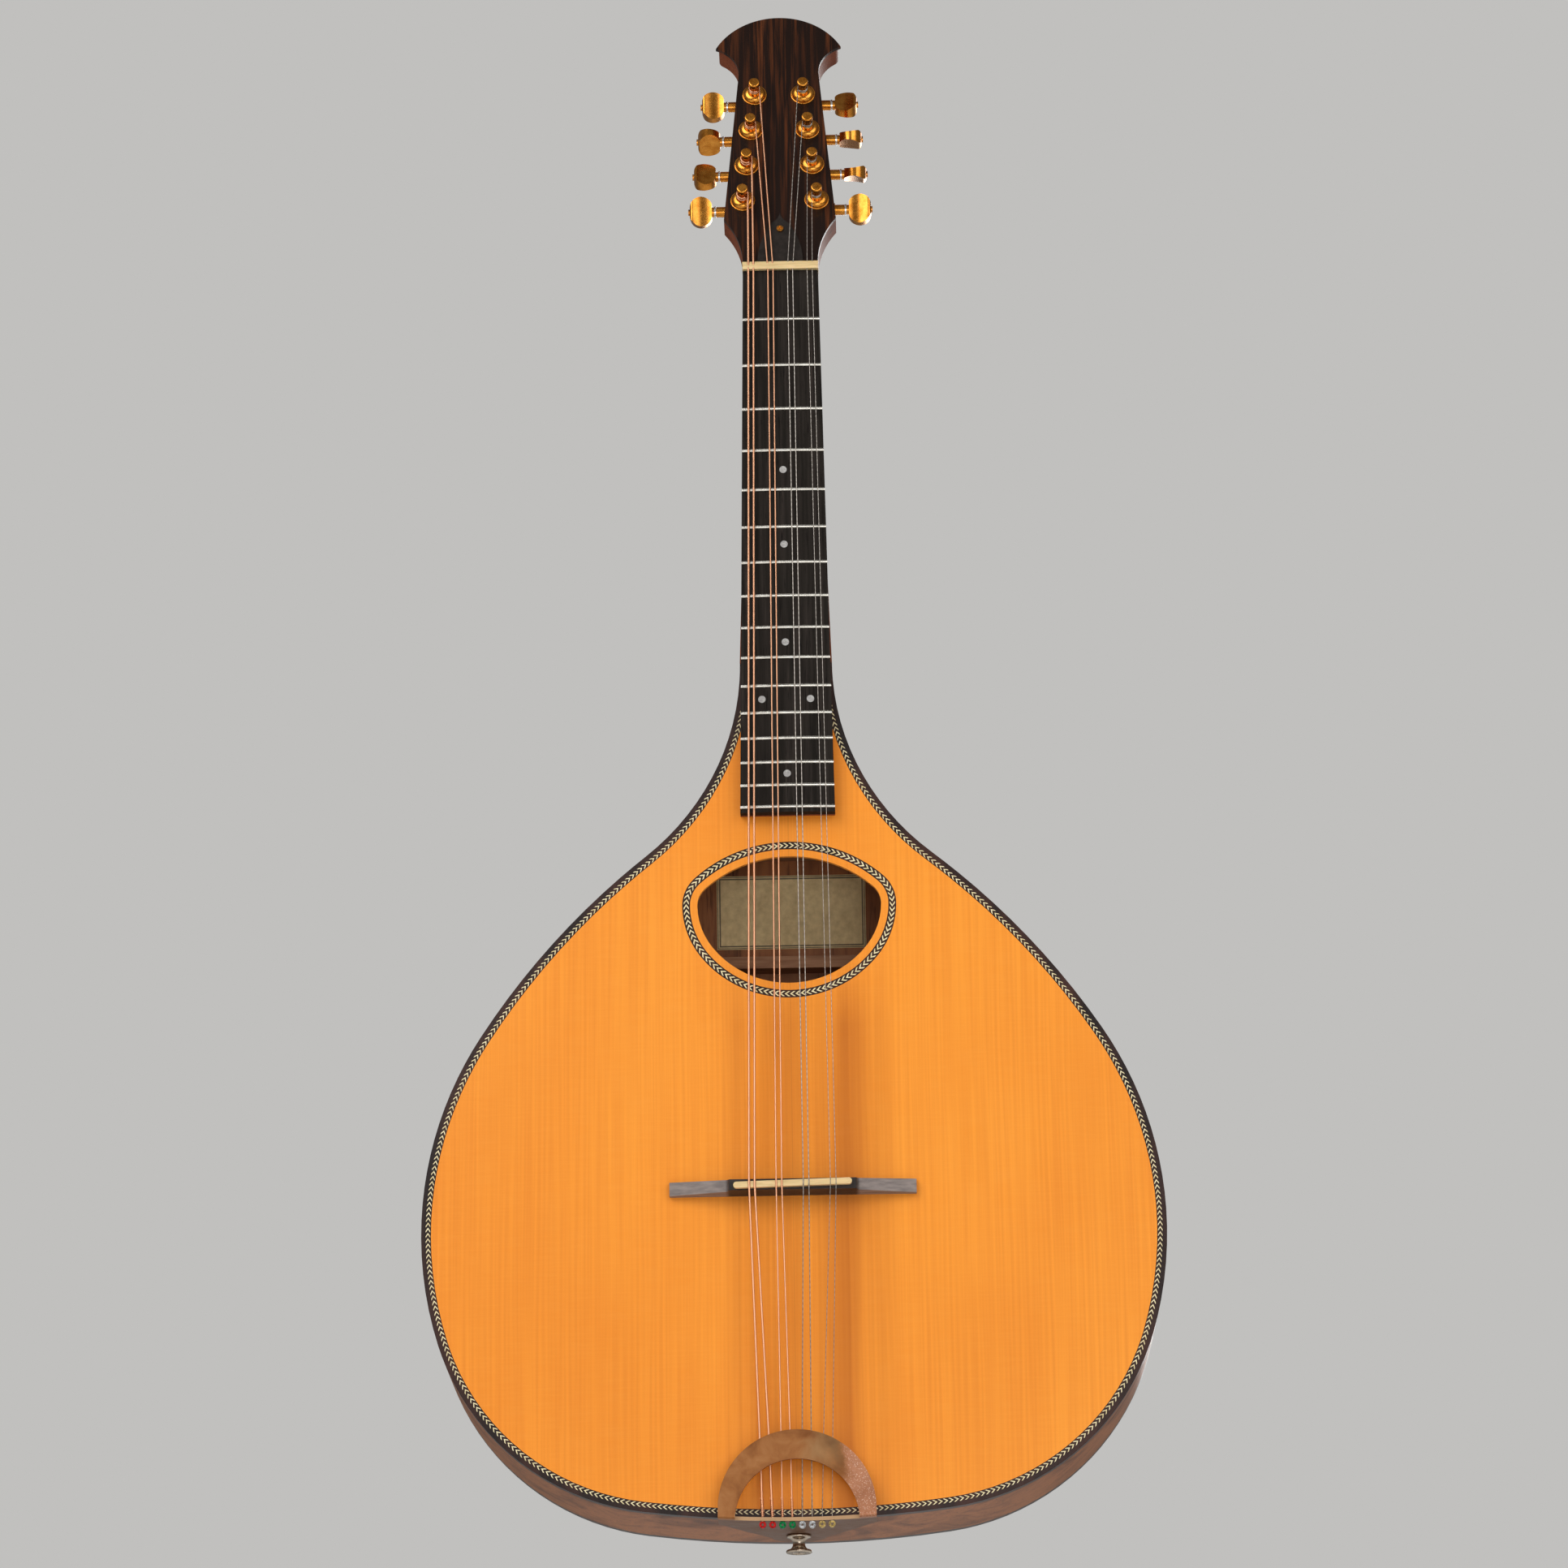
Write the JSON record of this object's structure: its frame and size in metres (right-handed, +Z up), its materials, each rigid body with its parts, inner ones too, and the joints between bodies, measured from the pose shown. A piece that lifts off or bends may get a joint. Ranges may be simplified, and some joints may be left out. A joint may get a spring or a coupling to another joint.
{
  "type": "bouzouki",
  "caption": "Flat-top bouzouki with a teardrop body, oval soundhole, floating bridge, arched brass tailpiece and worm-geared tuners.",
  "frame": {"origin": "centre of the strap button's outer end, at the tail", "axes": "+Z up the neck to the headstock, soundboard faces -Y, +X is the treble side"},
  "size_m": [0.4134, 0.1052, 0.921],
  "materials": {
    "binding_wood": "gloss",
    "black_plastic": "gloss",
    "bone": "satin",
    "bronze_string": "satin",
    "ebony": "satin",
    "fret_metal": "polished",
    "gold_plate": "gloss",
    "headplate_rosewood": "gloss",
    "herringbone": "satin",
    "inner_softwood": "matte",
    "mahogany": "satin",
    "nickel": "polished",
    "parchment": "matte",
    "patina_brass": "satin",
    "pearl": "gloss",
    "rod_steel": "satin",
    "rosewood": "gloss",
    "spruce_top": "satin",
    "steel_string": "polished"
  },
  "bodies": {
    "root": {"back": "rosewood", "back_binding": "binding_wood", "back_braces": "inner_softwood", "bridge": "ebony", "fingerboard": "ebony", "frets": "fret_metal", "headplate": "headplate_rosewood", "label": "parchment", "linings": "inner_softwood", "neck": "mahogany", "neck_block": "inner_softwood", "nut": "bone", "position_dots": "pearl", "rib_bass": "rosewood", "rib_treble": "rosewood", "saddle": "bone", "soundboard": "spruce_top", "soundhole_rosette": "herringbone", "strap_button": "nickel", "strings_a": "steel_string", "strings_d": "bronze_string", "strings_high_e": "steel_string", "strings_low_g": "bronze_string", "tail_block": "inner_softwood", "tailpiece": "patina_brass", "top_binding": "binding_wood", "top_braces": "inner_softwood", "top_purfling": "herringbone", "truss_cover_screw": "gold_plate", "truss_rod": "rod_steel", "truss_rod_cover": "black_plastic", "tuner_base_plates": "nickel", "tuner_bushings": "nickel", "tuner_housings": "gold_plate", "tuner_mounting_screws": "nickel"},
    "bass_1_knob": {"tuner_bass_1_button": "gold_plate", "tuner_bass_1_worm_shaft": "rod_steel"},
    "bass_1_winder": {"tuner_bass_1_post": "gold_plate"},
    "bass_2_knob": {"tuner_bass_2_button": "gold_plate", "tuner_bass_2_worm_shaft": "rod_steel"},
    "bass_2_winder": {"tuner_bass_2_post": "gold_plate"},
    "bass_3_knob": {"tuner_bass_3_button": "gold_plate", "tuner_bass_3_worm_shaft": "rod_steel"},
    "bass_3_winder": {"tuner_bass_3_post": "gold_plate"},
    "bass_4_knob": {"tuner_bass_4_button": "gold_plate", "tuner_bass_4_worm_shaft": "rod_steel"},
    "bass_4_winder": {"tuner_bass_4_post": "gold_plate"},
    "treble_1_knob": {"tuner_treble_1_button": "gold_plate", "tuner_treble_1_worm_shaft": "rod_steel"},
    "treble_1_winder": {"tuner_treble_1_post": "gold_plate"},
    "treble_2_knob": {"tuner_treble_2_button": "gold_plate", "tuner_treble_2_worm_shaft": "rod_steel"},
    "treble_2_winder": {"tuner_treble_2_post": "gold_plate"},
    "treble_3_knob": {"tuner_treble_3_button": "gold_plate", "tuner_treble_3_worm_shaft": "rod_steel"},
    "treble_3_winder": {"tuner_treble_3_post": "gold_plate"},
    "treble_4_knob": {"tuner_treble_4_button": "gold_plate", "tuner_treble_4_worm_shaft": "rod_steel"},
    "treble_4_winder": {"tuner_treble_4_post": "gold_plate"}
  },
  "joints": [
    {"name": "bass_1_button_turn", "type": "hinge", "parent": "root", "child": "bass_1_knob", "pos_m": [-0.0217, -0.01445, 0.79329], "axis": [1, 0, 0], "continuous": true},
    {"name": "bass_1_post_turn", "type": "hinge", "parent": "root", "child": "bass_1_winder", "pos_m": [-0.0217, -0.03771, 0.79035], "axis": [0, -0.9744, 0.225], "continuous": true},
    {"name": "bass_2_button_turn", "type": "hinge", "parent": "root", "child": "bass_2_knob", "pos_m": [-0.01925, -0.00869, 0.81824], "axis": [1, 0, 0], "continuous": true},
    {"name": "bass_2_post_turn", "type": "hinge", "parent": "root", "child": "bass_2_winder", "pos_m": [-0.01925, -0.03195, 0.81529], "axis": [0, -0.9744, 0.225], "continuous": true},
    {"name": "bass_3_button_turn", "type": "hinge", "parent": "root", "child": "bass_3_knob", "pos_m": [-0.0168, -0.00293, 0.84318], "axis": [1, 0, 0], "continuous": true},
    {"name": "bass_3_post_turn", "type": "hinge", "parent": "root", "child": "bass_3_winder", "pos_m": [-0.0168, -0.02619, 0.84024], "axis": [0, -0.9744, 0.225], "continuous": true},
    {"name": "bass_4_button_turn", "type": "hinge", "parent": "root", "child": "bass_4_knob", "pos_m": [-0.01435, 0.00282, 0.86813], "axis": [1, 0, 0], "continuous": true},
    {"name": "bass_4_post_turn", "type": "hinge", "parent": "root", "child": "bass_4_winder", "pos_m": [-0.01435, -0.02043, 0.86518], "axis": [0, -0.9744, 0.225], "continuous": true},
    {"name": "treble_1_button_turn", "type": "hinge", "parent": "root", "child": "treble_1_knob", "pos_m": [0.0217, -0.01445, 0.79329], "axis": [1, 0, 0], "continuous": true},
    {"name": "treble_1_post_turn", "type": "hinge", "parent": "root", "child": "treble_1_winder", "pos_m": [0.0217, -0.03771, 0.79035], "axis": [0, -0.9744, 0.225], "continuous": true},
    {"name": "treble_2_button_turn", "type": "hinge", "parent": "root", "child": "treble_2_knob", "pos_m": [0.01925, -0.00869, 0.81824], "axis": [1, 0, 0], "continuous": true},
    {"name": "treble_2_post_turn", "type": "hinge", "parent": "root", "child": "treble_2_winder", "pos_m": [0.01925, -0.03195, 0.81529], "axis": [0, -0.9744, 0.225], "continuous": true},
    {"name": "treble_3_button_turn", "type": "hinge", "parent": "root", "child": "treble_3_knob", "pos_m": [0.0168, -0.00293, 0.84318], "axis": [1, 0, 0], "continuous": true},
    {"name": "treble_3_post_turn", "type": "hinge", "parent": "root", "child": "treble_3_winder", "pos_m": [0.0168, -0.02619, 0.84024], "axis": [0, -0.9744, 0.225], "continuous": true},
    {"name": "treble_4_button_turn", "type": "hinge", "parent": "root", "child": "treble_4_knob", "pos_m": [0.01435, 0.00282, 0.86813], "axis": [1, 0, 0], "continuous": true},
    {"name": "treble_4_post_turn", "type": "hinge", "parent": "root", "child": "treble_4_winder", "pos_m": [0.01435, -0.02043, 0.86518], "axis": [0, -0.9744, 0.225], "continuous": true}
  ],
  "couplings": [
    {"joint": "bass_1_post_turn", "follows": "bass_1_button_turn", "ratio": -0.071429},
    {"joint": "bass_2_post_turn", "follows": "bass_2_button_turn", "ratio": -0.071429},
    {"joint": "bass_3_post_turn", "follows": "bass_3_button_turn", "ratio": -0.071429},
    {"joint": "bass_4_post_turn", "follows": "bass_4_button_turn", "ratio": -0.071429},
    {"joint": "treble_1_post_turn", "follows": "treble_1_button_turn", "ratio": 0.071429},
    {"joint": "treble_2_post_turn", "follows": "treble_2_button_turn", "ratio": 0.071429},
    {"joint": "treble_3_post_turn", "follows": "treble_3_button_turn", "ratio": 0.071429},
    {"joint": "treble_4_post_turn", "follows": "treble_4_button_turn", "ratio": 0.071429}
  ]
}
